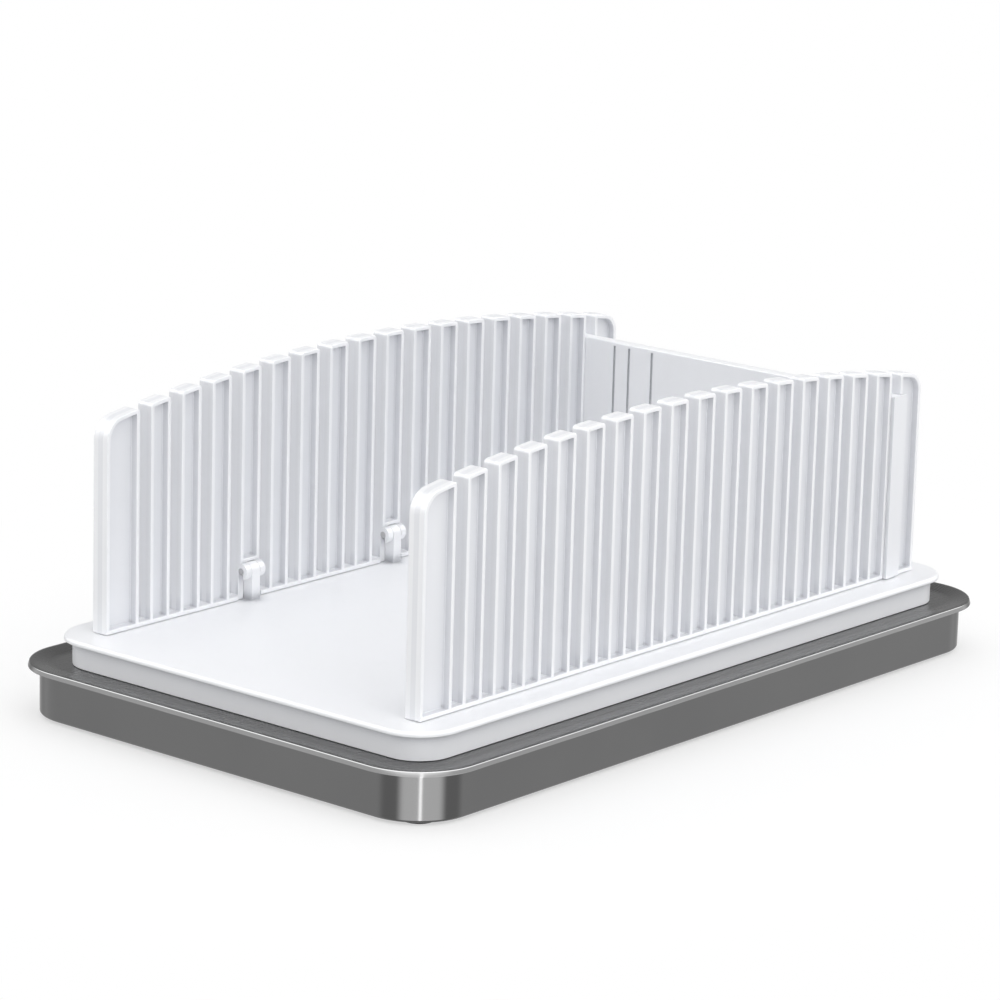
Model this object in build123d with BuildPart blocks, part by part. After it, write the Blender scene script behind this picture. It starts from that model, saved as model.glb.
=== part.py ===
from build123d import *
from math import sqrt
import os

# Bread slicer guide: a steel crumb tray, a white board that stands on it, two comb walls
# that guide the knife and fold down onto the board, and a backstop for the loaf.
#
# X runs along the loaf, from the open front (-X) to the backstop (+X).
# -Y is the near side, +Y the far side, +Z is up.
# The origin is on the table, under the middle of the tray.

# ---------------------------------------------------------------- crumb tray
foot_stand = 1.0            # the rubber feet lift the tray this much off the table
tray_length = 320.0         # over the rim, along X
tray_width = 194.0          # over the rim, along Y
tray_corner_radius = 24.0   # rim corners, in plan
tray_height = 18.3          # from the bottom of the wall to the top of the rim
tray_sheet = 1.0            # steel gauge
rim_thickness = 1.7         # rolled edge, seen from the side
rim_roll = 2.2              # width of the flat top of the rolled edge
rim_edge_radius = 0.7       # rounding of the rolled edge
border_width = 5.8          # sloping border between rolled edge and floor
floor_depth = 1.3           # floor below the top of the rim
wall_inset = 4.0            # wall inside the rim's edge
wall_bend_radius = 0.9      # rounding where the wall turns in at the bottom
wall_play = 0.1             # between the wall and the floor sheet inside it
flange_width = 16.0         # inward flange at the bottom of the wall

tray_foot_diameter = 12.0
tray_foot_stem_diameter = 5.0
tray_foot_head_diameter = 8.0
tray_foot_head_height = 1.6
tray_foot_edge = 0.4        # chamfer round the sole of a foot
tray_foot_offset = 12.0     # from the centre of the wall's corner, outward along the diagonal

# --------------------------------------------------------------------- board
board_length = 297.5        # over the lip
board_width = 172.5
board_corner_radius = 16.0
board_height = 10.8         # from the tray's floor to the top of the board
board_plate = 2.6           # thickness of the top
lip_thickness = 2.0
lip_overhang = 2.9          # lip beyond the skirt
lip_edge_radius = 0.8
skirt_wall = 2.4
skirt_gap = 0.3             # under the skirt: the board stands on its pads
stiffener_thickness = 1.8   # ribs under the board
stiffener_gap = 2.0         # ribs end this much above the skirt's foot
stiffener_pitch = 75.0      # of the cross ribs
stiffener_count = 3

base_pad_diameter = 10.0
base_pad_thickness = 2.0
base_pad_wall = 2.0         # wall of the boss round a pad
base_pad_inset = 20.0       # pad's centre from the skirt's faces

# --------------------------------------------------------------- comb panels
inner_width = 136.0         # room for the loaf between the panels
panel_thickness = 6.7
panel_gap = 0.2             # under a panel, above the board
pitch = 15.0                # thickness of a slice, with the kerf
slot_width = 5.4
tooth_count = 18
first_tooth_width = 15.6    # at the open front
last_tooth_width = 13.0     # behind the backstop
crest_height = 86.0         # highest point of the arched top, above the board
crest_x = -2.4
crest_radius = 830.0
front_corner_radius = 7.0
rear_corner_radius = 6.0
tooth_edge_radius = 1.2     # rounding of each tooth's two top corners
slot_floor = 1.8            # slots and hollows start this much above the board
hollow_depth = 2.6          # of the hollow on each face of a tooth
hollow_border = 1.5         # rim left round a hollow

# -------------------------------------------------------------------- hinges
near_hinge_height = 3.3     # axis of the near panel's hinge, above the board
folded_gap = 0.5            # between the two panels when both lie folded
knuckle_radius = 3.0
hinge_teeth = (5, 10, 15)   # teeth with a hinge: front, middle and rear
hinge_pin_diameter = 2.6
hinge_pin_play = 0.06       # round the pin, in the panel
hinge_pin_end = 0.3         # pin ends inside the tooth's sides
snap_opening = 2.2          # mouth of the panel's sockets, a little narrower than the pin
lug_width = 4.0
lug_side_play = 0.2
lug_clearance = 0.3         # round a lug
hinge_block_cover = 1.5     # solid material above a knuckle

# ------------------------------------------------------------------ backstop
backstop_height = 68.4      # top edge above the board
backstop_play = 0.15        # on each face, in its slot
backstop_reach = 1.45       # ends stand out beyond the panels' outer faces
backstop_gap = 0.3          # under its ends, above the board
backstop_edge_radius = 0.6
bridge_clearance = 0.3      # round the bars that join the last teeth
bridge_root = 3.0           # how far those bars run into the teeth
groove_offsets = (36.0, 47.0, 54.0)  # vertical grooves in its face, either side of the middle
groove_width = 1.0
groove_depth = 0.8
groove_margin = 1.5         # grooves end below the top edge and above the bottom

# ------------------------------------------------------------ derived places
rim_top = foot_stand + tray_height
rim_underside = rim_top - rim_thickness
floor_top = rim_top - floor_depth
floor_underside = floor_top - tray_sheet
flange_top = foot_stand + tray_sheet
wall_length = tray_length - 2 * wall_inset
wall_width = tray_width - 2 * wall_inset
wall_corner_radius = tray_corner_radius - wall_inset

board_top = floor_top + board_height
skirt_foot = floor_top + skirt_gap
skirt_length = board_length - 2 * lip_overhang
skirt_width = board_width - 2 * lip_overhang
skirt_corner_radius = board_corner_radius - lip_overhang

tooth_width = pitch - slot_width
panel_length = (first_tooth_width + last_tooth_width
                + (tooth_count - 2) * tooth_width + (tooth_count - 1) * slot_width)
panel_front = -panel_length / 2
panel_rear = panel_length / 2
first_slot = panel_front + first_tooth_width     # front side of the first slot
rear_slot = first_slot + (tooth_count - 2) * pitch
panel_foot = board_top + panel_gap
slot_bottom = board_top + slot_floor
crest_z = board_top + crest_height
inner_face = inner_width / 2
outer_face = inner_face + panel_thickness

far_hinge_height = near_hinge_height + panel_thickness + folded_gap
near_hinge_z = board_top + near_hinge_height
far_hinge_z = board_top + far_hinge_height
lug_slot_width = lug_width + 2 * lug_side_play

os.makedirs("parts", exist_ok=True)


def save(piece, name):
    """Label a finished piece and write its file."""
    piece.part.label = name
    export_step(piece.part, f"parts/{name}.step")


def tooth_centre(number):
    """Middle of a full tooth; the teeth are numbered from 1 at the front."""
    return first_slot + (number - 1) * pitch - tooth_width / 2


# ------------------------------------------------------------------ tray pan
# One pressed sheet: a flat floor, a border that slopes up to it, and a rolled edge.
with BuildPart() as tray_pan:
    with BuildSketch(Plane.XY.offset(rim_underside)):
        RectangleRounded(tray_length, tray_width, tray_corner_radius)
    extrude(amount=rim_thickness)
    with BuildSketch(Plane.XY.offset(floor_underside)):
        inside = wall_inset + tray_sheet + wall_play
        RectangleRounded(tray_length - 2 * inside, tray_width - 2 * inside,
                         tray_corner_radius - inside)
    extrude(amount=rim_underside - floor_underside)
    with BuildSketch(Plane.XY.offset(rim_top)):
        RectangleRounded(tray_length - 2 * rim_roll, tray_width - 2 * rim_roll,
                         tray_corner_radius - rim_roll)
    with BuildSketch(Plane.XY.offset(floor_top)):
        inside = rim_roll + border_width
        RectangleRounded(tray_length - 2 * inside, tray_width - 2 * inside,
                         tray_corner_radius - inside)
    loft(ruled=True, mode=Mode.SUBTRACT)
    rim_faces = tray_pan.faces().filter_by(Plane.XY)
    top_loop = rim_faces.sort_by(Axis.Z)[-1].outer_wire().edges()
    under_loop = rim_faces.filter_by_position(Axis.Z, rim_underside, rim_underside)[0].outer_wire().edges()
    fillet(top_loop + under_loop, rim_edge_radius)
save(tray_pan, "tray_pan")

# ---------------------------------------------------------------- tray apron
# The wall under the rim. Its bottom turns in to a flange, with a hole at each corner for a foot.
foot_reach = tray_foot_offset / sqrt(2)
foot_x = wall_length / 2 - wall_corner_radius + foot_reach
foot_y = wall_width / 2 - wall_corner_radius + foot_reach
with BuildPart() as tray_apron:
    with BuildSketch(Plane.XY.offset(foot_stand)):
        RectangleRounded(wall_length, wall_width, wall_corner_radius)
    extrude(amount=rim_underside - foot_stand)
    fillet(tray_apron.faces().sort_by(Axis.Z)[0].edges(), wall_bend_radius)
    with BuildSketch(Plane.XY.offset(flange_top)):
        RectangleRounded(wall_length - 2 * tray_sheet, wall_width - 2 * tray_sheet,
                         wall_corner_radius - tray_sheet)
    extrude(amount=rim_underside - flange_top, mode=Mode.SUBTRACT)
    with BuildSketch(Plane.XY.offset(foot_stand)):
        RectangleRounded(wall_length - 2 * flange_width, wall_width - 2 * flange_width,
                         wall_corner_radius - flange_width)
    extrude(amount=tray_sheet, mode=Mode.SUBTRACT)
    with BuildSketch(Plane.XY.offset(foot_stand)):
        with GridLocations(2 * foot_x, 2 * foot_y, 2, 2):
            Circle(tray_foot_stem_diameter / 2)
    extrude(amount=tray_sheet, mode=Mode.SUBTRACT)
save(tray_apron, "tray_apron")

# ----------------------------------------------------------------- tray feet
# Rubber buttons: a sole under the flange, a stem through it and a head that holds it.
for name, x, y in (("tray_foot_front_near", -foot_x, -foot_y), ("tray_foot_front_far", -foot_x, foot_y),
                   ("tray_foot_rear_near", foot_x, -foot_y), ("tray_foot_rear_far", foot_x, foot_y)):
    with BuildPart() as tray_foot:
        with BuildSketch(Plane((x, y, 0))):
            Circle(tray_foot_diameter / 2)
        extrude(amount=foot_stand)
        chamfer(tray_foot.edges().group_by(Axis.Z)[0], tray_foot_edge)
        with BuildSketch(Plane((x, y, foot_stand))):
            Circle(tray_foot_stem_diameter / 2)
        extrude(amount=tray_sheet)
        with BuildSketch(Plane((x, y, flange_top))):
            Circle(tray_foot_head_diameter / 2)
        extrude(amount=tray_foot_head_height)
    save(tray_foot, name)

# ---------------------------------------------------------------- base board
# Moulded board: a flat top with a thin lip, a skirt inside the lip, ribs and pad bosses below,
# and on top the lugs that carry the hinge pins. The far lugs are taller, so that the
# far panel folds down on top of the near one.
pad_x = skirt_length / 2 - base_pad_inset
pad_y = skirt_width / 2 - base_pad_inset
plate_underside = board_top - board_plate
with BuildPart() as base_board:
    with BuildSketch(Plane.XY.offset(board_top - lip_thickness)):
        RectangleRounded(board_length, board_width, board_corner_radius)
    extrude(amount=lip_thickness)
    fillet(base_board.faces().sort_by(Axis.Z)[-1].edges(), lip_edge_radius)
    with BuildSketch(Plane.XY.offset(skirt_foot)):
        RectangleRounded(skirt_length, skirt_width, skirt_corner_radius)
    extrude(amount=board_top - lip_thickness - skirt_foot)
    with BuildSketch(Plane.XY.offset(skirt_foot)):
        RectangleRounded(skirt_length - 2 * skirt_wall, skirt_width - 2 * skirt_wall,
                         skirt_corner_radius - skirt_wall)
    extrude(amount=plate_underside - skirt_foot, mode=Mode.SUBTRACT)
    with BuildSketch(Plane.XY.offset(skirt_foot + stiffener_gap)):
        with Locations((0, -(inner_face + outer_face) / 2), (0, (inner_face + outer_face) / 2)):
            Rectangle(skirt_length - skirt_wall, stiffener_thickness)
        with GridLocations(stiffener_pitch, 0, stiffener_count, 1):
            Rectangle(stiffener_thickness, skirt_width - skirt_wall)
    extrude(amount=plate_underside - skirt_foot - stiffener_gap)
    with BuildSketch(Plane.XY.offset(skirt_foot)):
        with GridLocations(2 * pad_x, 2 * pad_y, 2, 2):
            Circle(base_pad_diameter / 2 + base_pad_wall)
    extrude(amount=plate_underside - skirt_foot)
    with BuildSketch(Plane.XY.offset(skirt_foot)):
        with GridLocations(2 * pad_x, 2 * pad_y, 2, 2):
            Circle(base_pad_diameter / 2)
    extrude(amount=base_pad_thickness - skirt_gap, mode=Mode.SUBTRACT)
    for number in hinge_teeth:
        lug_front = tooth_centre(number) - lug_width / 2
        with BuildSketch(Plane.YZ.offset(lug_front)):
            for y, z in ((-inner_face, near_hinge_z), (inner_face, far_hinge_z)):
                with Locations((y, (z + board_top) / 2)):
                    Rectangle(2 * knuckle_radius, z - board_top)
                with Locations((y, z)):
                    Circle(knuckle_radius)
                    Circle(hinge_pin_diameter / 2, mode=Mode.SUBTRACT)
        extrude(amount=lug_width)
save(base_board, "base_board")

# ----------------------------------------------------------------- base pads
# Rubber discs in the bosses under the board. They stand on the tray's floor.
for name, x, y in (("base_pad_front_near", -pad_x, -pad_y), ("base_pad_front_far", -pad_x, pad_y),
                   ("base_pad_rear_near", pad_x, -pad_y), ("base_pad_rear_far", pad_x, pad_y)):
    with BuildPart() as base_pad:
        with BuildSketch(Plane((x, y, floor_top))):
            Circle(base_pad_diameter / 2)
        extrude(amount=base_pad_thickness)
    save(base_pad, name)

# ---------------------------------------------------------------- hinge pins
# Short steel pins, tight in the lugs. Their ends carry the sockets of a panel's tooth.
pin_length = tooth_width - 2 * hinge_pin_end
for side, y, z in (("near", -inner_face, near_hinge_z), ("far", inner_face, far_hinge_z)):
    for place, number in zip(("front", "middle", "rear"), hinge_teeth):
        with BuildPart() as hinge_pin:
            with BuildSketch(Plane.YZ.offset(tooth_centre(number) - pin_length / 2)):
                with Locations((y, z)):
                    Circle(hinge_pin_diameter / 2)
            extrude(amount=pin_length)
        save(hinge_pin, f"{side}_hinge_pin_{place}")


# --------------------------------------------------------------- comb panels
def crest_at(x, inset=0.0):
    """Height of the arched top at a place along the panel, or of an arch set in from it."""
    radius = crest_radius - inset
    return crest_z - crest_radius + sqrt(radius ** 2 - (x - crest_x) ** 2)


def arched_field(foot, inset=0.0):
    """Side view of a whole panel without slots, from a foot height up to the arch."""
    front = panel_front + inset
    rear = panel_rear - inset
    with BuildSketch() as field:
        with BuildLine():
            crest = ThreePointArc((front, crest_at(front, inset)), (crest_x, crest_z - inset),
                                  (rear, crest_at(rear, inset)))
            Polyline(crest @ 1, (rear, foot), (front, foot), crest @ 0)
        make_face()
        top_corners = field.vertices().sort_by(Axis.Y)[2:].sort_by(Axis.X)
        fillet(top_corners[0], front_corner_radius - inset)
        fillet(field.vertices().group_by(Axis.X)[-1].sort_by(Axis.Y)[-1], rear_corner_radius - inset)
    return field.sketch


def comb_outline():
    """Side view of a panel. A slot lies between each two teeth, and the rear one has no floor,
    so that the backstop reaches down to the board."""
    with BuildSketch() as outline:
        add(arched_field(panel_foot))
        for number in range(1, tooth_count):
            middle = first_slot + (number - 1) * pitch + slot_width / 2
            bottom = slot_bottom if number < tooth_count - 1 else board_top
            with Locations((middle, bottom)):
                Rectangle(slot_width, 2 * crest_height, align=(Align.CENTER, Align.MIN), mode=Mode.SUBTRACT)
        tooth_corners = outline.vertices().filter_by(
            lambda v: first_slot - pitch / 2 < v.X < rear_slot + pitch / 2 and v.Y > crest_at(v.X) - slot_floor)
        fillet(tooth_corners, tooth_edge_radius)
    return outline.sketch


def hollow_outline():
    """Side view of the hollows: one in each tooth, with a rim left round it."""
    with BuildSketch() as outline:
        add(arched_field(slot_bottom, hollow_border))
        for number in range(1, tooth_count):
            middle = first_slot + (number - 1) * pitch + slot_width / 2
            with Locations((middle, board_top)):
                Rectangle(slot_width + 2 * hollow_border, 2 * crest_height,
                          align=(Align.CENTER, Align.MIN), mode=Mode.SUBTRACT)
    return outline.sketch


def comb_panel(side, hinge_z):
    """One comb wall; side is -1 for near and 1 for far. It turns about the lower edge of its inner face."""
    inner_plane = Plane.XZ.offset(-side * inner_face)
    outer_plane = Plane.XZ.offset(-side * outer_face)
    hinge_y = side * inner_face
    block_top = hinge_z + knuckle_radius + hinge_block_cover
    with BuildPart() as panel:
        with BuildSketch(inner_plane):
            add(comb_outline())
        extrude(amount=-side * panel_thickness)
        # hollows on the outer and on the inner face of every tooth
        with BuildSketch(outer_plane):
            add(hollow_outline())
        extrude(amount=side * hollow_depth, mode=Mode.SUBTRACT)
        with BuildSketch(inner_plane):
            add(hollow_outline())
            for number in hinge_teeth:
                with Locations((tooth_centre(number), board_top)):
                    Rectangle(tooth_width, block_top - board_top, align=(Align.CENTER, Align.MIN),
                              mode=Mode.SUBTRACT)
        extrude(amount=-side * hollow_depth, mode=Mode.SUBTRACT)
        # knuckles of the hinge teeth, and the round bar that joins the last two teeth under the backstop
        for number in hinge_teeth:
            with BuildSketch(Plane.YZ.offset(tooth_centre(number) - tooth_width / 2)):
                with Locations((hinge_y, hinge_z)):
                    Circle(knuckle_radius)
            extrude(amount=tooth_width)
        with BuildSketch(Plane.YZ.offset(rear_slot - bridge_root)):
            with Locations((hinge_y, hinge_z)):
                Circle(knuckle_radius)
        extrude(amount=slot_width + 2 * bridge_root)
        # room for the board's lugs, and the sockets that snap down onto the pins
        for number in hinge_teeth:
            with BuildSketch(Plane.YZ.offset(tooth_centre(number) - lug_slot_width / 2)):
                with Locations((hinge_y, hinge_z)):
                    Circle(knuckle_radius + lug_clearance)
                    Rectangle(2 * (knuckle_radius + lug_clearance), 2 * (hinge_z - board_top),
                              align=(Align.CENTER, Align.MAX))
            extrude(amount=lug_slot_width, mode=Mode.SUBTRACT)
            with BuildSketch(Plane.YZ.offset(tooth_centre(number) - tooth_width / 2)):
                with Locations((hinge_y, hinge_z)):
                    Circle(hinge_pin_diameter / 2 + hinge_pin_play)
                    Rectangle(snap_opening, 2 * (hinge_z - board_top), align=(Align.CENTER, Align.MAX))
            extrude(amount=tooth_width, mode=Mode.SUBTRACT)
    return panel


near_comb_panel = comb_panel(-1, near_hinge_z)
save(near_comb_panel, "near_comb_panel")
far_comb_panel = comb_panel(1, far_hinge_z)
save(far_comb_panel, "far_comb_panel")

# ------------------------------------------------------------------ backstop
# A flat plate that drops into the rear slots of both panels. Near its ends it straddles the
# round bars that join the last teeth, so the panels can turn past it.
backstop_thickness = slot_width - 2 * backstop_play
backstop_foot = board_top + backstop_gap
backstop_top = board_top + backstop_height
backstop_length = 2 * (outer_face + backstop_reach)
backstop_face = rear_slot + backstop_play
fork_radius = knuckle_radius + bridge_clearance
with BuildPart() as backstop:
    with BuildSketch(Plane.YZ.offset(backstop_face)):
        with Locations((0, backstop_foot)):
            Rectangle(backstop_length, backstop_top - backstop_foot, align=(Align.CENTER, Align.MIN))
        for y, z in ((-inner_face, near_hinge_z), (inner_face, far_hinge_z)):
            with Locations((y, z)):
                Circle(fork_radius, mode=Mode.SUBTRACT)
                Rectangle(2 * fork_radius, 2 * (z - board_top), align=(Align.CENTER, Align.MAX),
                          mode=Mode.SUBTRACT)
    extrude(amount=backstop_thickness)
    fillet(backstop.edges().filter_by(Axis.Y).group_by(Axis.Z)[-1], backstop_edge_radius)
    groove_foot = backstop_foot + groove_margin
    groove_length = backstop_top - groove_margin - groove_foot
    with BuildSketch(Plane.YZ.offset(backstop_face)):
        for offset_y in groove_offsets:
            with Locations((-offset_y, groove_foot), (offset_y, groove_foot)):
                Rectangle(groove_width, groove_length, align=(Align.CENTER, Align.MIN))
    extrude(amount=groove_depth, mode=Mode.SUBTRACT)
save(backstop, "backstop")

# The hinge axes run along X, in the inner faces of the panels.
print(f"near hinge: y {-inner_face:.2f} z {near_hinge_z:.2f}; far hinge: y {inner_face:.2f} z {far_hinge_z:.2f}")
print(f"board top {board_top:.2f}, rear slot {rear_slot:.2f} to {rear_slot + slot_width:.2f}")
print(f"first slot {first_slot:.2f}, panel {panel_front:.2f} to {panel_rear:.2f}, crest {crest_z:.2f}")
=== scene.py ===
import bmesh
import bpy
from math import radians, sqrt
from mathutils import Matrix, Vector


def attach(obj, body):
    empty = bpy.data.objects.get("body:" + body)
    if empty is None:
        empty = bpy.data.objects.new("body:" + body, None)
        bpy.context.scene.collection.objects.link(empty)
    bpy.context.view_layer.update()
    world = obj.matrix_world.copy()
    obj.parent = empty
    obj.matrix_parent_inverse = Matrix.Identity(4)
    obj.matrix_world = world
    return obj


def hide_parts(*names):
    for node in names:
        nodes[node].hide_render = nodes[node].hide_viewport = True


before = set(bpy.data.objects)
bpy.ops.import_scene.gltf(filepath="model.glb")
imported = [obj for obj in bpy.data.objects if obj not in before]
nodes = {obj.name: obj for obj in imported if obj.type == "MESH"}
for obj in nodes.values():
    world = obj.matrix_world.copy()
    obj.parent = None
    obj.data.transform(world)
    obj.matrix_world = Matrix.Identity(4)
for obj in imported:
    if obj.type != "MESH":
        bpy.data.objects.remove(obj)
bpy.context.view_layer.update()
mm = 0.001


# ------------------------------------------------------------ crumb tray, top
# The top of the crumb tray is one pressed sheet of satin steel. A shallow border slopes down
# to its flat floor, and its edge is rolled over, so that it stands out beyond the wall.

class Wire:
    """A value on its way through a material. Arithmetic on it adds Math nodes."""

    def __init__(self, tree, socket=None):
        self.tree = tree
        self.socket = socket

    def node(self, kind, settings=None, inputs=None, output=0):
        made = self.tree.nodes.new(kind)
        for name, value in (settings or {}).items():
            setattr(made, name, value)
        for name, value in (inputs or {}).items():
            if isinstance(value, Wire):
                self.tree.links.new(value.socket, made.inputs[name])
            else:
                made.inputs[name].default_value = value
        return Wire(self.tree, made.outputs[output])

    def math(self, operation, first, second=0.5):
        return self.node("ShaderNodeMath", {"operation": operation}, {0: first, 1: second})

    def __add__(self, other):
        return self.math("ADD", self, other)

    def __radd__(self, other):
        return self.math("ADD", other, self)

    def __sub__(self, other):
        return self.math("SUBTRACT", self, other)

    def __rsub__(self, other):
        return self.math("SUBTRACT", other, self)

    def __mul__(self, other):
        return self.math("MULTIPLY", self, other)

    def __rmul__(self, other):
        return self.math("MULTIPLY", other, self)

    def place(self, stretch=(1.0, 1.0, 1.0)):
        """The place on the object, in metres, with each direction stretched."""
        where = self.node("ShaderNodeTexCoord", output="Object")
        return self.node("ShaderNodeMapping", {}, {"Vector": where, "Scale": stretch})

    def cloud(self, stretch, detail=2.0, roughness=0.5):
        """Soft noise between 0 and 1; stretch is in waves per metre."""
        return self.node("ShaderNodeTexNoise", {"noise_dimensions": "3D"},
                         {"Vector": self.place(stretch), "Scale": 1.0, "Detail": detail,
                          "Roughness": roughness}, output="Fac")

    def band(self, value, low, high):
        """0 below low, 1 above high and a smooth step between."""
        return self.node("ShaderNodeMapRange", {"interpolation_type": "SMOOTHSTEP"},
                         {"Value": value, "From Min": low, "From Max": high})

    def blend(self, factor, first, second):
        """A colour between two others."""
        return self.node("ShaderNodeMix", {"data_type": "RGBA"},
                         {0: factor, 6: first, 7: second}, output=2)

    def edge(self, radius):
        """1 along outer and inner edges within a radius, 0 on open faces."""
        rounded = self.node("ShaderNodeBevel", {"samples": 6}, {"Radius": radius})
        plain = self.node("ShaderNodeNewGeometry", output="Normal")
        along = self.node("ShaderNodeVectorMath", {"operation": "DOT_PRODUCT"},
                          {0: rounded, 1: plain}, output="Value")
        return self.band(1.0 - along, 0.01, 0.14)


def new_material(name, **constants):
    """A material with one Principled shader, and a Wire into its node tree."""
    material = bpy.data.materials.new(name)
    material.use_nodes = True
    shader = material.node_tree.nodes["Principled BSDF"]
    for socket, value in constants.items():
        shader.inputs[socket.replace("_", " ")].default_value = value
    return material, shader, Wire(material.node_tree)


def feed(wire, shader, socket):
    wire.tree.links.new(wire.socket, shader.inputs[socket])


def satin_steel(name, brushing):
    """Cold rolled steel: fine lines along the brushing, in waves per metre, faint stains, edges
    rubbed lighter, and a duller finish on the upper faces than on the upright ones, where a painted
    shade also darkens their colour."""
    material, shader, wire = new_material(name, Metallic=1.0, Specular_IOR_Level=0.5)
    normal = wire.node("ShaderNodeNewGeometry", output="Normal")
    facing_up = wire.node("ShaderNodeSeparateXYZ", {}, {"Vector": normal}, output="Z")
    upper = wire.band(facing_up, 0.9, 0.99)
    lines = wire.cloud(brushing, detail=3.0, roughness=0.6)
    specks = wire.cloud((1500.0, 1500.0, 1500.0), detail=2.0)
    stains = wire.cloud((14.0, 14.0, 14.0), detail=4.0)
    rubbed = wire.edge(0.5 * mm) * wire.band(wire.cloud((60.0, 60.0, 60.0)), 0.35, 0.7)
    tone = wire.blend(wire.band(stains, 0.25, 0.75),
                      (0.143, 0.143, 0.144, 1.0), (0.157, 0.157, 0.157, 1.0))
    # painted shade: faces that turn upward are coloured a darker grey than the upright ones
    tone = wire.blend(upper * 0.85, tone, (0.088, 0.088, 0.089, 1.0))
    feed(wire.blend(rubbed * 0.35, tone, (0.34, 0.34, 0.34, 1.0)), shader, "Base Color")
    feed(0.09 + upper * 0.15 + lines * 0.04 + stains * 0.03, shader, "Roughness")
    relief = lines * 0.6 + specks * 0.4
    feed(wire.node("ShaderNodeBump", {},
                   {"Strength": 0.05, "Distance": 0.03 * mm, "Height": relief}), shader, "Normal")
    return material


def rounded_sheet(length, width, radius, height, steps=16):
    """A flat face with rounded corners, lying at one height."""
    bm = bmesh.new()
    bmesh.ops.create_grid(bm, x_segments=1, y_segments=1, size=0.5,
                          matrix=Matrix.Translation((0, 0, height))
                          @ Matrix.Diagonal((length, width, 1, 1)))
    bmesh.ops.bevel(bm, geom=bm.verts[:], offset=radius, segments=steps, profile=0.5,
                    affect="VERTICES", material=-1)
    return bm


def flat_face(bm, height):
    """The largest face that lies at one height."""
    level = [f for f in bm.faces if all(abs(v.co.z - height) < 1e-6 for v in f.verts)]
    return max(level, key=lambda f: f.calc_area())


def pull(bm, faces, shift):
    """Extrudes faces by a straight shift."""
    made = bmesh.ops.extrude_face_region(bm, geom=faces)["geom"]
    verts = [g for g in made if isinstance(g, bmesh.types.BMVert)]
    bmesh.ops.translate(bm, verts=verts, vec=shift)


def creases(bm, least=50):
    """Edges whose two faces meet at more than an angle, in degrees."""
    return [e for e in bm.edges
            if len(e.link_faces) == 2 and radians(least) < e.calc_face_angle(0.0) < radians(180)]


def soften(bm, edges, radius, steps=2):
    bmesh.ops.bevel(bm, geom=edges, offset=radius, segments=steps, profile=0.5,
                    affect="EDGES", clamp_overlap=True, material=-1)


def piece(bm, name, material, body, stands_for):
    """Makes an object of a finished mesh, which rides on a body in place of its CAD nodes."""
    bmesh.ops.recalc_face_normals(bm, faces=bm.faces[:])
    mesh = bpy.data.meshes.new(name)
    bm.to_mesh(mesh)
    bm.free()
    mesh.polygons.foreach_set("use_smooth", [True] * len(mesh.polygons))
    mesh.set_sharp_from_angle(angle=radians(50))
    mesh.materials.append(material)
    made = bpy.data.objects.new(name, mesh)
    bpy.context.scene.collection.objects.link(made)
    even = made.modifiers.new("even_normals", "WEIGHTED_NORMAL")
    even.keep_sharp = True
    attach(made, body)
    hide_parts(*stands_for)


tray_length = 320.0 * mm
tray_width = 194.0 * mm
rim_corner = 24.0 * mm
rim_top = 19.3 * mm
rim_underside = 17.6 * mm
rim_foot = 0.1 * mm
tray_floor = 18.0 * mm
rim_lean = 0.45 * mm
rim_edge = 0.35 * mm
rim_width = 2.2 * mm
border = 5.8 * mm
border_bend = 1.4 * mm
rolled_edge = 4.4 * mm
sheet_step = 0.3 * mm
pressed_top = rounded_sheet(tray_length, tray_width, rim_corner, rim_underside, steps=24)
pull(pressed_top, [flat_face(pressed_top, rim_underside)], (0, 0, rim_foot))
bmesh.ops.inset_region(pressed_top, faces=[flat_face(pressed_top, rim_underside + rim_foot)],
                       thickness=rim_lean, depth=rim_top - rim_underside - rim_foot,
                       use_even_offset=True)
upper = [e for e in creases(pressed_top) if e.verts[0].co.z > rim_top - 0.1 * mm]
soften(pressed_top, upper, rim_edge, steps=4)
bmesh.ops.inset_region(pressed_top, faces=[flat_face(pressed_top, rim_top)],
                       thickness=rim_width - rim_lean - rim_edge, use_even_offset=True)
bmesh.ops.inset_region(pressed_top, faces=[flat_face(pressed_top, rim_top)],
                       thickness=border, depth=tray_floor - rim_top, use_even_offset=True)
soften(pressed_top, flat_face(pressed_top, tray_floor).edges[:], border_bend, steps=3)
bmesh.ops.inset_region(pressed_top, faces=[flat_face(pressed_top, rim_underside)],
                       thickness=rolled_edge, use_even_offset=True)
bmesh.ops.inset_region(pressed_top, faces=[flat_face(pressed_top, rim_underside)],
                       thickness=sheet_step, depth=2 * sheet_step, use_even_offset=True)
top_steel = satin_steel("satin_steel_top", (9.0, 2600.0, 40.0))
piece(pressed_top, "tray_top", top_steel, "tray", ["tray_pan"])


# ----------------------------------------------------------- crumb tray, wall
# The wall is a band of the same steel, bent round the corners and tucked up under the rolled
# edge. Its bottom turns inward to a narrow flange that carries the rubber feet.
wall_foot = 1.0 * mm
steel_gauge = 1.0 * mm
wall_length = 312.0 * mm
wall_width = 186.0 * mm
wall_corner = 20.0 * mm
flange_bend = 0.9 * mm
flange_width = 15.1 * mm
wall = rounded_sheet(wall_length, wall_width, wall_corner, wall_foot, steps=24)
pull(wall, [flat_face(wall, wall_foot)], (0, 0, rim_underside - wall_foot))
bmesh.ops.delete(wall, geom=[flat_face(wall, rim_underside)], context="FACES_ONLY")
soften(wall, creases(wall), flange_bend, steps=4)
bmesh.ops.inset_region(wall, faces=[flat_face(wall, wall_foot)], thickness=flange_width,
                       use_even_offset=True)
bmesh.ops.delete(wall, geom=[flat_face(wall, wall_foot)], context="FACES_ONLY")
bmesh.ops.recalc_face_normals(wall, faces=wall.faces[:])
bmesh.ops.solidify(wall, geom=wall.faces[:], thickness=steel_gauge)
wall_steel = satin_steel("satin_steel_wall", (9.0, 9.0, 2600.0))
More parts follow.
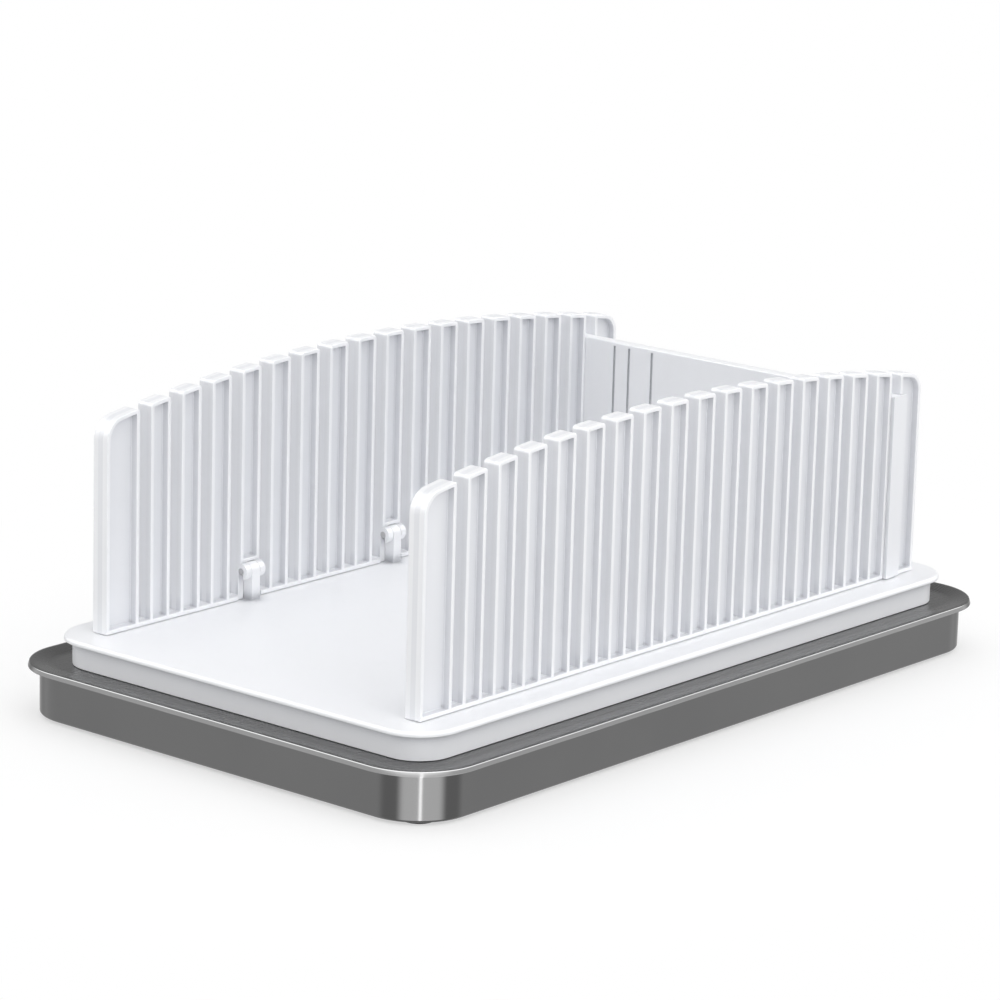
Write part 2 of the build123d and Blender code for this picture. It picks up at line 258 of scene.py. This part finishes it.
piece(wall, "tray_wall", wall_steel, "tray", ["tray_apron"])


# ----------------------------------------------------------- rubber feet, pads
# Moulded rubber buttons: four feet pushed through the tray's flange, and four pads set in
# bosses under the board, so that nothing slides while the bread is sawn.
rubber, shader, wire = new_material("black_rubber", Roughness=0.8)
dust = wire.band(wire.cloud((260.0, 260.0, 260.0), detail=4.0), 0.5, 0.8)
feed(wire.blend(dust * 0.5, (0.020, 0.020, 0.021, 1.0), (0.075, 0.074, 0.072, 1.0)),
     shader, "Base Color")
feed(0.72 + dust * 0.2, shader, "Roughness")
grain = wire.cloud((1800.0, 1800.0, 1800.0))
feed(wire.node("ShaderNodeBump", {}, {"Strength": 0.3, "Distance": 0.05 * mm, "Height": grain}),
     shader, "Normal")
for name, node in nodes.items():
    if name.startswith(("tray_foot", "base_pad")):
        node.material_slots[0].material = rubber


# ----------------------------------------------------------------- white board
# The board is one white moulding with a gloss finish: a flat top with a thin lip, a skirt set
# in below the lip, ribs and pad bosses underneath, and three pairs of lugs for the hinge pins.

def white_plastic(name, recess_shade_level, crevice, deep, floors=None):
    """Moulded white plastic: a faint orange-peel skin, with painted shade in its hollows and a
    painted highlight along its edges. Crevices up to a size get a dark painted shade, from none to
    all over the two shares of deep. What lies between the two distances of floors from the middle
    gets a darker painted shade of its own."""
    material, shader, wire = new_material(name, Specular_IOR_Level=0.5)
    flow = wire.cloud((18.0, 18.0, 18.0), detail=3.0)
    skin = wire.cloud((700.0, 700.0, 700.0), detail=1.0)
    scuffs = wire.band(wire.cloud((90.0, 90.0, 25.0), detail=5.0, roughness=0.7), 0.56, 0.8)
    cavity = 1.0 - wire.node("ShaderNodeAmbientOcclusion", {"samples": 6, "only_local": True},
                             {"Distance": 6.0 * mm}, output="AO")
    depth = 1.0 - wire.node("ShaderNodeAmbientOcclusion", {"samples": 6, "only_local": True},
                            {"Distance": crevice}, output="AO")
    painted_recess_shade = tuple(c * recess_shade_level for c in (0.965, 0.980, 1.030)) + (1.0,)
    # painted shade: recesses within 6 mm of other faces are coloured darker
    body = wire.blend(wire.band(cavity, 0.03, 0.3), (0.840, 0.848, 0.868, 1.0), painted_recess_shade)
    if floors:
        start, end = floors
        fade = 0.1 * mm
        across = wire.node("ShaderNodeSeparateXYZ", {}, {"Vector": wire.place()}, output="Y")
        across = wire.math("ABSOLUTE", across)
        # painted shade: the hollow floors of the combs and the ends of the backstop are coloured a
        # darker grey
        painted_floor_shade = wire.band(across, start, start + fade) * (1.0 - wire.band(across, end - fade, end))
        body = wire.blend(painted_floor_shade * 0.8, body, (0.745, 0.755, 0.785, 1.0))
    # painted shade: narrow crevices, such as the one under the board's lip, are coloured dark grey
    body = wire.blend(wire.band(depth, *deep) * 0.8, body, (0.330, 0.338, 0.360, 1.0))
    # painted highlight: edges within 0.35 mm are coloured lighter
    body = wire.blend(wire.edge(0.35 * mm) * 0.5, body, (0.90, 0.905, 0.915, 1.0))
    feed(wire.blend(scuffs * 0.12 + flow * 0.06, body, (0.74, 0.745, 0.75, 1.0)),
         shader, "Base Color")
    feed(0.26 + flow * 0.08 + scuffs * 0.12 + cavity * 0.1, shader, "Roughness")
    feed(wire.node("ShaderNodeBump", {},
                   {"Strength": 0.12, "Distance": 0.03 * mm, "Height": skin}), shader, "Normal")
    return material


board_length = 297.5 * mm
board_width = 172.5 * mm
board_corner = 16.0 * mm
board_top = 28.8 * mm
lip_round = 1.4 * mm
small_round = 0.3 * mm
skirt_foot = 18.1 * mm
lip_overhang = 2.9 * mm
skirt_wall = 2.4 * mm
plate_underside = 26.2 * mm
lip_underside = 26.8 * mm
board = rounded_sheet(board_length, board_width, board_corner, lip_underside, steps=20)
pull(board, [flat_face(board, lip_underside)], (0, 0, board_top - lip_underside))
soften(board, [e for e in creases(board) if e.verts[0].co.z > 28 * mm], lip_round, steps=6)
soften(board, [e for e in creases(board) if e.verts[0].co.z < 27 * mm], small_round, steps=2)
bmesh.ops.inset_region(board, faces=[flat_face(board, lip_underside)],
                       thickness=lip_overhang - small_round, use_even_offset=True)
pull(board, [flat_face(board, lip_underside)], (0, 0, skirt_foot - lip_underside))
bmesh.ops.inset_region(board, faces=[flat_face(board, skirt_foot)], thickness=skirt_wall,
                       use_even_offset=True)
pull(board, [flat_face(board, skirt_foot)], (0, 0, plate_underside - skirt_foot))
foot_edges = [e for e in creases(board) if max(v.co.z for v in e.verts) < skirt_foot + 0.1 * mm]
soften(board, foot_edges, small_round)


def bar(bm, lowest, highest):
    """A block between two corners; returns its vertices."""
    size = Vector(highest) - Vector(lowest)
    middle = (Vector(highest) + Vector(lowest)) / 2
    return bmesh.ops.create_cube(bm, size=1.0, matrix=Matrix.Translation(middle)
                                 @ Matrix.Diagonal((*size, 1)))["verts"]


# two ribs along the board and three across it end inside the wall of the skirt
rib_foot = skirt_foot + 2.0 * mm
half_rib = 0.9 * mm
skirt_x = 145.0 * mm
skirt_y = 82.5 * mm
for y in (-71.35 * mm, 71.35 * mm):
    bar(board, (-skirt_x, y - half_rib, rib_foot), (skirt_x, y + half_rib, lip_underside))
for x in (-75.0 * mm, 0.0, 75.0 * mm):
    bar(board, (x - half_rib, -skirt_y, rib_foot), (x + half_rib, skirt_y, lip_underside))

# round bosses that hold the rubber pads
pad_boss = 7.0 * mm
boss_wall = 2.0 * mm
pad_seat = 1.7 * mm
for x in (-125.85 * mm, 125.85 * mm):
    for y in (-63.35 * mm, 63.35 * mm):
        halfway = Vector((x, y, (lip_underside + skirt_foot) / 2))
        boss = bmesh.ops.create_cone(board, cap_ends=True, segments=32, radius1=pad_boss,
                                     radius2=pad_boss, depth=lip_underside - skirt_foot,
                                     matrix=Matrix.Translation(halfway))
        foot = [f for f in {f for v in boss["verts"] for f in v.link_faces} if f.normal.z < -0.9]
        bmesh.ops.inset_region(board, faces=foot, thickness=boss_wall)
        pull(board, foot, (0, 0, pad_seat))

# a rounded lug for a pin under three teeth of each wall, counted from the open end
hinge_teeth = (5, 10, 15)
first_slot = -121.4 * mm
pitch = 15.0 * mm
tooth = 9.6 * mm
near_hinge = (-68.0 * mm, 32.1 * mm)
far_hinge = (68.0 * mm, 39.3 * mm)
knuckle = 3.0 * mm
half_lug = 2.0 * mm
for number in hinge_teeth:
    middle = first_slot + (number - 1) * pitch - tooth / 2
    for y, z in (near_hinge, far_hinge):
        lug = bar(board, (middle - half_lug, y - knuckle, board_top - mm),
                  (middle + half_lug, y + knuckle, z + knuckle))
        upper = [v for v in lug if v.co.z > z]
        crown = [e for e in {e for v in upper for e in v.link_edges}
                 if all(v in upper for v in e.verts) and abs(e.verts[0].co.x - e.verts[1].co.x) > mm]
        soften(board, crown, knuckle * 0.999, steps=8)
board_plastic = white_plastic("white_plastic_board", 0.70, 5.0 * mm, (0.16, 0.36))
piece(board, "board", board_plastic, "slicer", ["base_board"])


# ------------------------------------------------------------------ hinge pins
# Six short turned pins of bright steel, pressed into the lugs of the board. The comb walls snap
# down onto them and fold inward about them.
pin_steel, shader, wire = new_material("turned_steel", Metallic=1.0)
turning = wire.cloud((2200.0, 120.0, 120.0), detail=2.0)
feed(wire.blend(turning, (0.50, 0.50, 0.51, 1.0), (0.60, 0.60, 0.60, 1.0)),
     shader, "Base Color")
feed(0.22 + turning * 0.14, shader, "Roughness")
feed(wire.node("ShaderNodeBump", {}, {"Strength": 0.2, "Distance": 0.02 * mm, "Height": turning}),
     shader, "Normal")
for name, node in nodes.items():
    if "hinge_pin" in name:
        node.material_slots[0].material = pin_steel


# ----------------------------------------------------------------- comb walls
# Two white mouldings guide the knife. Each has eighteen teeth on one low strip, with an arched
# top, and each tooth is hollowed on both faces, so that it is thin and stiff and does not sink.
panel_front = -137.0 * mm
panel_rear = 137.0 * mm
panel_foot = 29.0 * mm
slot_floor = 30.6 * mm
slot_width = 5.4 * mm
teeth = 18
rear_bar = (115.6 * mm, 127.0 * mm)
outer_face = 74.7 * mm
inner_face = 68.0 * mm
behind_slots = 125.0 * mm
hollow_border = 1.5 * mm
hollow_depth = 2.6 * mm
hollow_draft = 0.12 * mm
front_round = 7.0 * mm
rear_round = 6.0 * mm
tooth_round = 1.4 * mm
crest = Vector((-2.4 * mm, 114.8 * mm))
crest_radius = 830.0 * mm


def upright_sheet(lines, levels, place):
    """A flat sheet cut by upright lines and levels; place puts a line and a level in space."""
    bm = bmesh.new()
    bmesh.ops.create_grid(bm, x_segments=len(lines) - 1, y_segments=len(levels) - 1, size=0.5)
    for vert in bm.verts:
        line = round((vert.co.x + 0.5) * (len(lines) - 1))
        level = round((vert.co.y + 0.5) * (len(levels) - 1))
        vert.co = place(lines[line], levels[level])
    return bm


def joined(bm, other, operation):
    """Unites a mesh with another one, or cuts the other one away."""
    shapes = []
    for each in (bm, other):
        bmesh.ops.recalc_face_normals(each, faces=each.faces[:])
        mesh = bpy.data.meshes.new("shape")
        each.to_mesh(mesh)
        each.free()
        shapes.append(bpy.data.objects.new("shape", mesh))
        bpy.context.scene.collection.objects.link(shapes[-1])
    cut = shapes[0].modifiers.new("cut", "BOOLEAN")
    cut.operation = operation
    cut.solver = "MANIFOLD"
    cut.object = shapes[1]
    result = bmesh.new()
    result.from_object(shapes[0], bpy.context.evaluated_depsgraph_get())
    for shape in shapes:
        bpy.data.objects.remove(shape)
    bmesh.ops.dissolve_degenerate(result, edges=result.edges[:], dist=0.002 * mm)
    return result


def crest_at(x):
    """The height of the arched top at one place along the wall."""
    return crest.y - crest_radius + sqrt(crest_radius ** 2 - (x - crest.x) ** 2)


def comb_wall(side, hinge_height):
    """One wall, from its outer face inward; side is -1 for the near one and 1 for the far one."""
    lines = [panel_front]
    for slot in range(teeth - 1):
        lines += [first_slot + slot * pitch, first_slot + slot * pitch + slot_width]
    lines.append(panel_rear)
    top = 1.0
    levels = [panel_foot, slot_floor, top]
    bm = upright_sheet(lines, levels,
                       lambda x, z: Vector((x, side * outer_face, crest_at(x) if z == top else z)))

    def in_slot(place):
        beside = (place.x - first_slot) % pitch < slot_width
        return beside and first_slot < place.x < behind_slots and place.z > slot_floor
    open_faces = [f for f in bm.faces if in_slot(f.calc_center_median())]
    # the last slot also cuts the strip, so that the backstop stands on the board
    open_faces += [f for f in bm.faces
                   if 119 * mm < f.calc_center_median().x < 124 * mm and f not in open_faces]
    bmesh.ops.delete(bm, geom=open_faces, context="FACES")
    pull(bm, bm.faces[:], (0, -side * (outer_face - inner_face), 0))
    bmesh.ops.recalc_face_normals(bm, faces=bm.faces[:])
    seams = [e for e in bm.edges
             if len(e.link_faces) == 2 and all(abs(v.co.z - slot_floor) < 1e-6 for v in e.verts)
             and abs(e.link_faces[0].normal.dot(e.link_faces[1].normal)) > 0.99]
    bmesh.ops.dissolve_edges(bm, edges=seams, use_verts=False)

    # the large round corners at the two ends of the wall
    def ridges():
        return [e for e in creases(bm) if abs(e.verts[0].co.y - e.verts[1].co.y) > 5 * mm
                and e.verts[0].co.z > 90 * mm]
    front = [e for e in ridges() if e.verts[0].co.x < panel_front + mm]
    soften(bm, front, front_round, steps=8)
    rear = [e for e in ridges() if e.verts[0].co.x > panel_rear - mm]
    soften(bm, rear, rear_round, steps=8)

    # the hollows; on the inner face of a hinge tooth they start above the hinge
    hinge_line = hinge_height + 4.5 * mm - hollow_border
    middles = [first_slot + (n - 1) * pitch - tooth / 2 for n in hinge_teeth]

    def over_hinge(place):
        return min(abs(place.x - middle) for middle in middles) < mm
    solid = [f for f in bm.faces if f.normal.y * side < -0.9
             and f.calc_center_median().z > slot_floor and over_hinge(f.calc_center_median())]
    around = {e for f in solid for e in f.edges} | {v for f in solid for v in f.verts}
    bmesh.ops.bisect_plane(bm, geom=solid + list(around), plane_co=(0, 0, hinge_line),
                           plane_no=(0, 0, 1))
    faces = []
    for f in bm.faces:
        place = f.calc_center_median()
        hinged = f.normal.y * side < 0 and over_hinge(place) and place.z < hinge_line
        if abs(f.normal.y) >= 0.9 and place.z >= slot_floor and not in_slot(place) and not hinged:
            faces.append(f)
    bmesh.ops.inset_region(bm, faces=faces, thickness=hollow_border, use_even_offset=True)
    bmesh.ops.remove_doubles(bm, verts=bm.verts[:], dist=0.12 * mm)
    webs = [f for f in bm.faces if abs(f.normal.y) > 0.99 and f.calc_area() > 200 * mm ** 2]
    bmesh.ops.inset_region(bm, faces=webs, thickness=hollow_draft, depth=-hollow_depth,
                           use_even_offset=True)
    soften(bm, ridges(), tooth_round, steps=5)
    soften(bm, creases(bm, least=40), small_round, steps=2)

    # the bar that joins the last two teeth under the backstop, and the knuckles of the hinges
    hinge_y = side * inner_face

    def round_bar(into, start, end, radius):
        place = Matrix.Translation(((start + end) / 2, hinge_y, hinge_height))
        bmesh.ops.create_cone(into, cap_ends=True, segments=40, radius1=radius, radius2=radius,
                              depth=end - start, matrix=place @ Matrix.Rotation(radians(90), 4, "Y"))
    bars = bmesh.new()
    round_bar(bars, *rear_bar, knuckle)
    inside = 0.05 * mm
    for middle in middles:
        round_bar(bars, middle - tooth / 2 + inside, middle + tooth / 2 - inside, knuckle)
    bm = joined(bm, bars, "UNION")

    # room for the lugs of the board, and the sockets that snap down onto the pins
    lug_room = (2.2 * mm, knuckle + 0.3 * mm, knuckle + 0.3 * mm)
    pin_socket = (tooth / 2 + mm, 1.36 * mm, 1.1 * mm)
    for half, radius, mouth in (lug_room, pin_socket):
        room = bmesh.new()
        for middle in middles:
            round_bar(room, middle - half, middle + half, radius)
        bm = joined(bm, room, "DIFFERENCE")
        room = bmesh.new()
        for middle in middles:
            bar(room, (middle - half, hinge_y - mouth, board_top - mm),
                (middle + half, hinge_y + mouth, hinge_height))
        bm = joined(bm, room, "DIFFERENCE")
    return bm


comb_plastic = white_plastic("white_plastic_comb", 0.65, 1.6 * mm, (0.25, 0.6),
                             floors=(70.2 * mm, 72.5 * mm))
near_wall = comb_wall(-1, near_hinge[1])
piece(near_wall, "near_comb", comb_plastic, "near_panel", ["near_comb_panel"])
far_wall = comb_wall(1, far_hinge[1])
piece(far_wall, "far_comb", comb_plastic, "far_panel", ["far_comb_panel"])


# ------------------------------------------------------------------- backstop
# A loose white plate that drops into the rear slots of both walls and stops the loaf. It is
# moulded with shallow upright grooves, and its foot is notched where it passes the hinge line.
stop_foot = 29.1 * mm
stop_top = 97.2 * mm
stop_end = 76.15 * mm
stop_face = 118.75 * mm
stop_thickness = 5.1 * mm
notch = 3.3 * mm
half_groove = 0.5 * mm
groove_depth = 0.8 * mm
grooves = (36.0 * mm, 47.0 * mm, 54.0 * mm)
end_strip = 1.5 * mm
top_round = 0.6 * mm
broken_edge = 0.12 * mm
cuts = []
for y in grooves:
    cuts += [-y - half_groove, -y + half_groove, y - half_groove, y + half_groove]
for y in (near_hinge[0], far_hinge[0]):
    cuts += [y - notch, y + notch]
lines = [-stop_end] + sorted(cuts) + [stop_end]
near_roof = near_hinge[1] + notch
far_roof = far_hinge[1] + notch
groove_foot = stop_foot + end_strip
groove_top = stop_top - end_strip
levels = [stop_foot, groove_foot, near_roof, far_roof, groove_top, stop_top]
stop = upright_sheet(lines, levels, lambda y, z: Vector((stop_face, y, z)))
notches = []
for f in stop.faces:
    place = f.calc_center_median()
    if ((abs(place.y - near_hinge[0]) < notch and place.z < near_roof)
            or (abs(place.y - far_hinge[0]) < notch and place.z < far_roof)):
        notches.append(f)
bmesh.ops.delete(stop, geom=notches, context="FACES")
pull(stop, stop.faces[:], (stop_thickness, 0, 0))
bmesh.ops.recalc_face_normals(stop, faces=stop.faces[:])
roofs = [e for e in creases(stop) if abs(e.verts[0].co.x - e.verts[1].co.x) > mm
         and stop_foot + mm < e.verts[0].co.z < stop_top - mm]
soften(stop, roofs, notch * 0.995, steps=8)
faces = []
for f in stop.faces:
    place = f.calc_center_median()
    if (f.normal.x < -0.9 and groove_foot < place.z < groove_top
            and min(abs(abs(place.y) - y) for y in grooves) < 0.1 * mm):
        faces.append(f)
bmesh.ops.inset_region(stop, faces=faces, thickness=0.04 * mm, depth=-groove_depth,
                       use_even_offset=True)
upper = [e for e in creases(stop) if all(v.co.z > stop_top - 0.01 * mm for v in e.verts)]
soften(stop, upper, top_round, steps=3)
soften(stop, creases(stop), broken_edge, steps=1)

# outside the walls its ends widen to thin flanges, which keep it from sliding sideways; the far
# one ends above the foot of the far wall, which swings out past it when the wall folds down
flange_start = 75.45 * mm
flange_front = stop_face - 0.3 * mm
flange_rear = stop_face + 7.5 * mm
proud = 0.05 * mm
for side, flange_foot in ((-1, stop_foot + 0.4 * mm), (1, 47.0 * mm)):
    low, high = sorted((side * flange_start, side * (stop_end + proud)))
    flange = bar(stop, (flange_front, low, flange_foot), (flange_rear, high, stop_top + proud))
    corners = [e for e in {e for v in flange for e in v.link_edges}
               if abs(e.verts[0].co.y - e.verts[1].co.y) > 0.5 * mm]
    soften(stop, corners, small_round, steps=2)
stop_plastic = white_plastic("white_plastic_backstop", 0.65, 1.6 * mm, (0.25, 0.6),
                             floors=(75.4 * mm, 76.4 * mm))
piece(stop, "backstop_plate", stop_plastic, "backstop_plate", ["backstop"])


# ---------------------------------------------------------------- table, lamps
# A plain white table top that runs out of sight. Near the tray it keeps the soft shadow of the
# lamps, and further out it turns into the even white of the backdrop. Mirrored rays pass it by.
table = bmesh.new()
bmesh.ops.create_circle(table, cap_ends=True, segments=96, radius=9.0)
mesh = bpy.data.meshes.new("table")
table.to_mesh(mesh)
table.free()
table_top = bpy.data.objects.new("table", mesh)
bpy.context.scene.collection.objects.link(table_top)
table_top.visible_glossy = False
table_white, shader, wire = new_material("table_white", Roughness=0.9, Specular_IOR_Level=0.1)
shader.inputs["Base Color"].default_value = (0.88, 0.88, 0.88, 1.0)
mesh.materials.append(table_white)
away = wire.node("ShaderNodeVectorMath", {"operation": "LENGTH"},
                 {0: wire.place((1.0, 1.25, 1.0))}, output="Value")
glow = wire.node("ShaderNodeEmission", {}, {"Color": (1, 1, 1, 1), "Strength": 1.0})
camera_ray = wire.node("ShaderNodeLightPath", output="Is Camera Ray")
white_out = camera_ray * (0.5 + wire.band(away, 0.14, 0.36) * 0.5)
mixed = wire.node("ShaderNodeMixShader", {},
                  {0: white_out, 1: Wire(wire.tree, shader.outputs[0]), 2: glow})
wire.tree.links.new(mixed.socket, wire.tree.nodes["Material Output"].inputs["Surface"])

world = bpy.data.worlds.new("studio")
bpy.context.scene.world = world
world.use_nodes = True
wire = Wire(world.node_tree)
backdrop = world.node_tree.nodes["Background"]
backdrop.inputs["Color"].default_value = (1.0, 1.0, 1.0, 1.0)
camera_ray = wire.node("ShaderNodeLightPath", output="Is Camera Ray")
glossy_ray = wire.node("ShaderNodeLightPath", output="Is Glossy Ray")
direction = wire.node("ShaderNodeTexCoord", output="Generated")
level = wire.node("ShaderNodeVectorMath", {"operation": "MULTIPLY"},
                  {0: direction, 1: (1.0, 1.0, 0.0)})
level = wire.node("ShaderNodeVectorMath", {"operation": "NORMALIZE"}, {0: level})


def towards(degrees):
    """How far a ray turns to one side: 1 straight at it, -1 away from it."""
    side = Matrix.Rotation(radians(degrees), 3, "Z") @ Vector((1.0, 0.0, 0.0))
    return wire.node("ShaderNodeVectorMath", {"operation": "DOT_PRODUCT"},
                     {0: level, 1: side}, output="Value")


# what polished steel mirrors: low down a wide softbox with one bright tube in front and darker
# flanks beside it, all round a paler backdrop that is brightest high up, and a dark far side
height = wire.node("ShaderNodeSeparateXYZ", {}, {"Vector": direction}, output="Z")
raised = wire.band(height, -0.18, -0.08)
high = wire.band(height, 0.18, 0.34)
front = towards(231.0)
middle = wire.band(height, -0.55, -0.40) * (1.0 - high)
softbox = wire.band(front, 0.65, 0.86) * middle
tube = wire.band(towards(228.7), 0.9980, 0.9996) * middle
flank = wire.band(front, 0.02, 0.35) * (1.0 - softbox) * (1.0 - raised)
far_side = wire.band(towards(42.0), 0.45, 0.80)
backdrop_glow = raised * (1.0 - softbox) + high * 4.5
mirrored = (1.0 + backdrop_glow + softbox * 1.35 + tube * 3.8 - flank * 0.38) * (1.0 - far_side)
mirrored = mirrored + far_side * (0.60 - raised * 0.05)

# everything else sees an even white, a little weaker towards the open end
open_end = wire.band(towards(180.0), 0.2, 0.9) * wire.band(height, -0.1, 0.1) * 0.24
plain = 1.0 - open_end * (1.0 - camera_ray)
strength = plain * (1.0 - glossy_ray) + mirrored * glossy_ray
world.node_tree.links.new(strength.socket, backdrop.inputs["Strength"])


def soft_lamp(name, place, size, power):
    """A softbox that faces the middle of the board."""
    lamp = bpy.data.lights.new(name, "AREA")
    lamp.shape = "SQUARE"
    lamp.size = size
    lamp.energy = power
    made = bpy.data.objects.new(name, lamp)
    made.location = place
    aim = Vector((0.0, 0.0, 0.05)) - Vector(place)
    made.rotation_euler = aim.to_track_quat("-Z", "Y").to_euler()
    bpy.context.scene.collection.objects.link(made)
    made.visible_camera = False


soft_lamp("overhead", (0.0, 0.0, 1.5), 1.2, 4.2)
soft_lamp("near_side", (-0.35, -0.85, 0.95), 0.6, 1.6)


# --------------------------------------------------------------------- camera
# A long lens, low in front of the open end and a little to the near side. The photograph's
# straight edges and the tops of the teeth gave its place, its turn and its focal length.
photographer = bpy.data.cameras.new("camera")
photographer.sensor_width = 36.0
photographer.lens = 155.029
photographer.clip_end = 50.0
camera = bpy.data.objects.new("camera", photographer)
right = Vector((0.647209, -0.761842, 0.026790))
upward = Vector((0.166773, 0.175796, 0.970197))
camera.matrix_world = Matrix.Translation((-1.136558, -0.943401, 0.431889)) @ Matrix(
    (right, upward, right.cross(upward))).transposed().to_4x4()
bpy.context.scene.collection.objects.link(camera)
bpy.context.scene.camera = camera
bpy.context.scene.view_settings.view_transform = "Standard"
